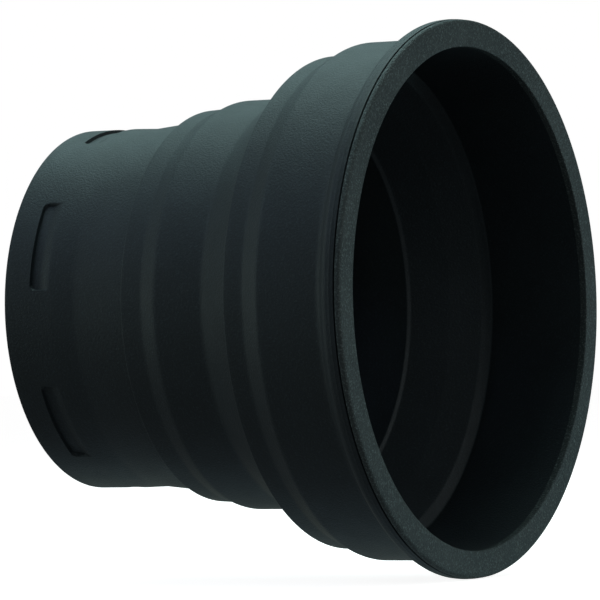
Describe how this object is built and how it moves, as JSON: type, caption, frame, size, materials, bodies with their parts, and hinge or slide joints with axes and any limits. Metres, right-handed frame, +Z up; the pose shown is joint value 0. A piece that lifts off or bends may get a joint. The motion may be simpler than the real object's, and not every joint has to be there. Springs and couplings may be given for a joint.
{
  "type": "lens hood",
  "caption": "Round collapsible rubber lens hood: a stretch collar grips the lens barrel, and stepped sections widen to a flat soft rim and fold back over the collar.",
  "frame": {"origin": "centre of the collar's rear face, on the optical axis", "axes": "+Y is the optical axis and points out of the collar towards the lens and camera; the mouth faces -Y; +Z is up in use"},
  "size_m": [0.1128, 0.0886, 0.1128],
  "materials": {
    "collar_silicone": "matte moulded black silicone",
    "fold_silicone": "matte moulded black silicone, thin and supple",
    "front_silicone": "matte moulded black silicone",
    "rim_silicone": "finely grained matte black silicone"
  },
  "bodies": {
    "collar": {"collar_sleeve": "collar_silicone", "collar_flare": "collar_silicone", "rear_fold_web": "fold_silicone"},
    "middle": {"middle_shoulder": "fold_silicone", "middle_barrel": "fold_silicone", "fold_bead": "fold_silicone", "middle_flare": "fold_silicone"},
    "front": {"front_fold_web": "fold_silicone", "front_shoulder": "front_silicone", "front_barrel": "front_silicone", "barrel_flange": "front_silicone", "rim_ring": "rim_silicone"}
  },
  "joints": [
    {"name": "fold_back", "type": "slide", "parent": "collar", "child": "front", "axis": [0, 1, 0], "range_m": [0, 0.059], "deforming": ["front_fold_web"]},
    {"name": "middle_follow", "type": "slide", "parent": "collar", "child": "middle", "axis": [0, 1, 0], "range_m": [0, 0.0295], "deforming": ["rear_fold_web"]}
  ],
  "couplings": [
    {"joint": "middle_follow", "follows": "fold_back", "ratio": 0.5}
  ]
}
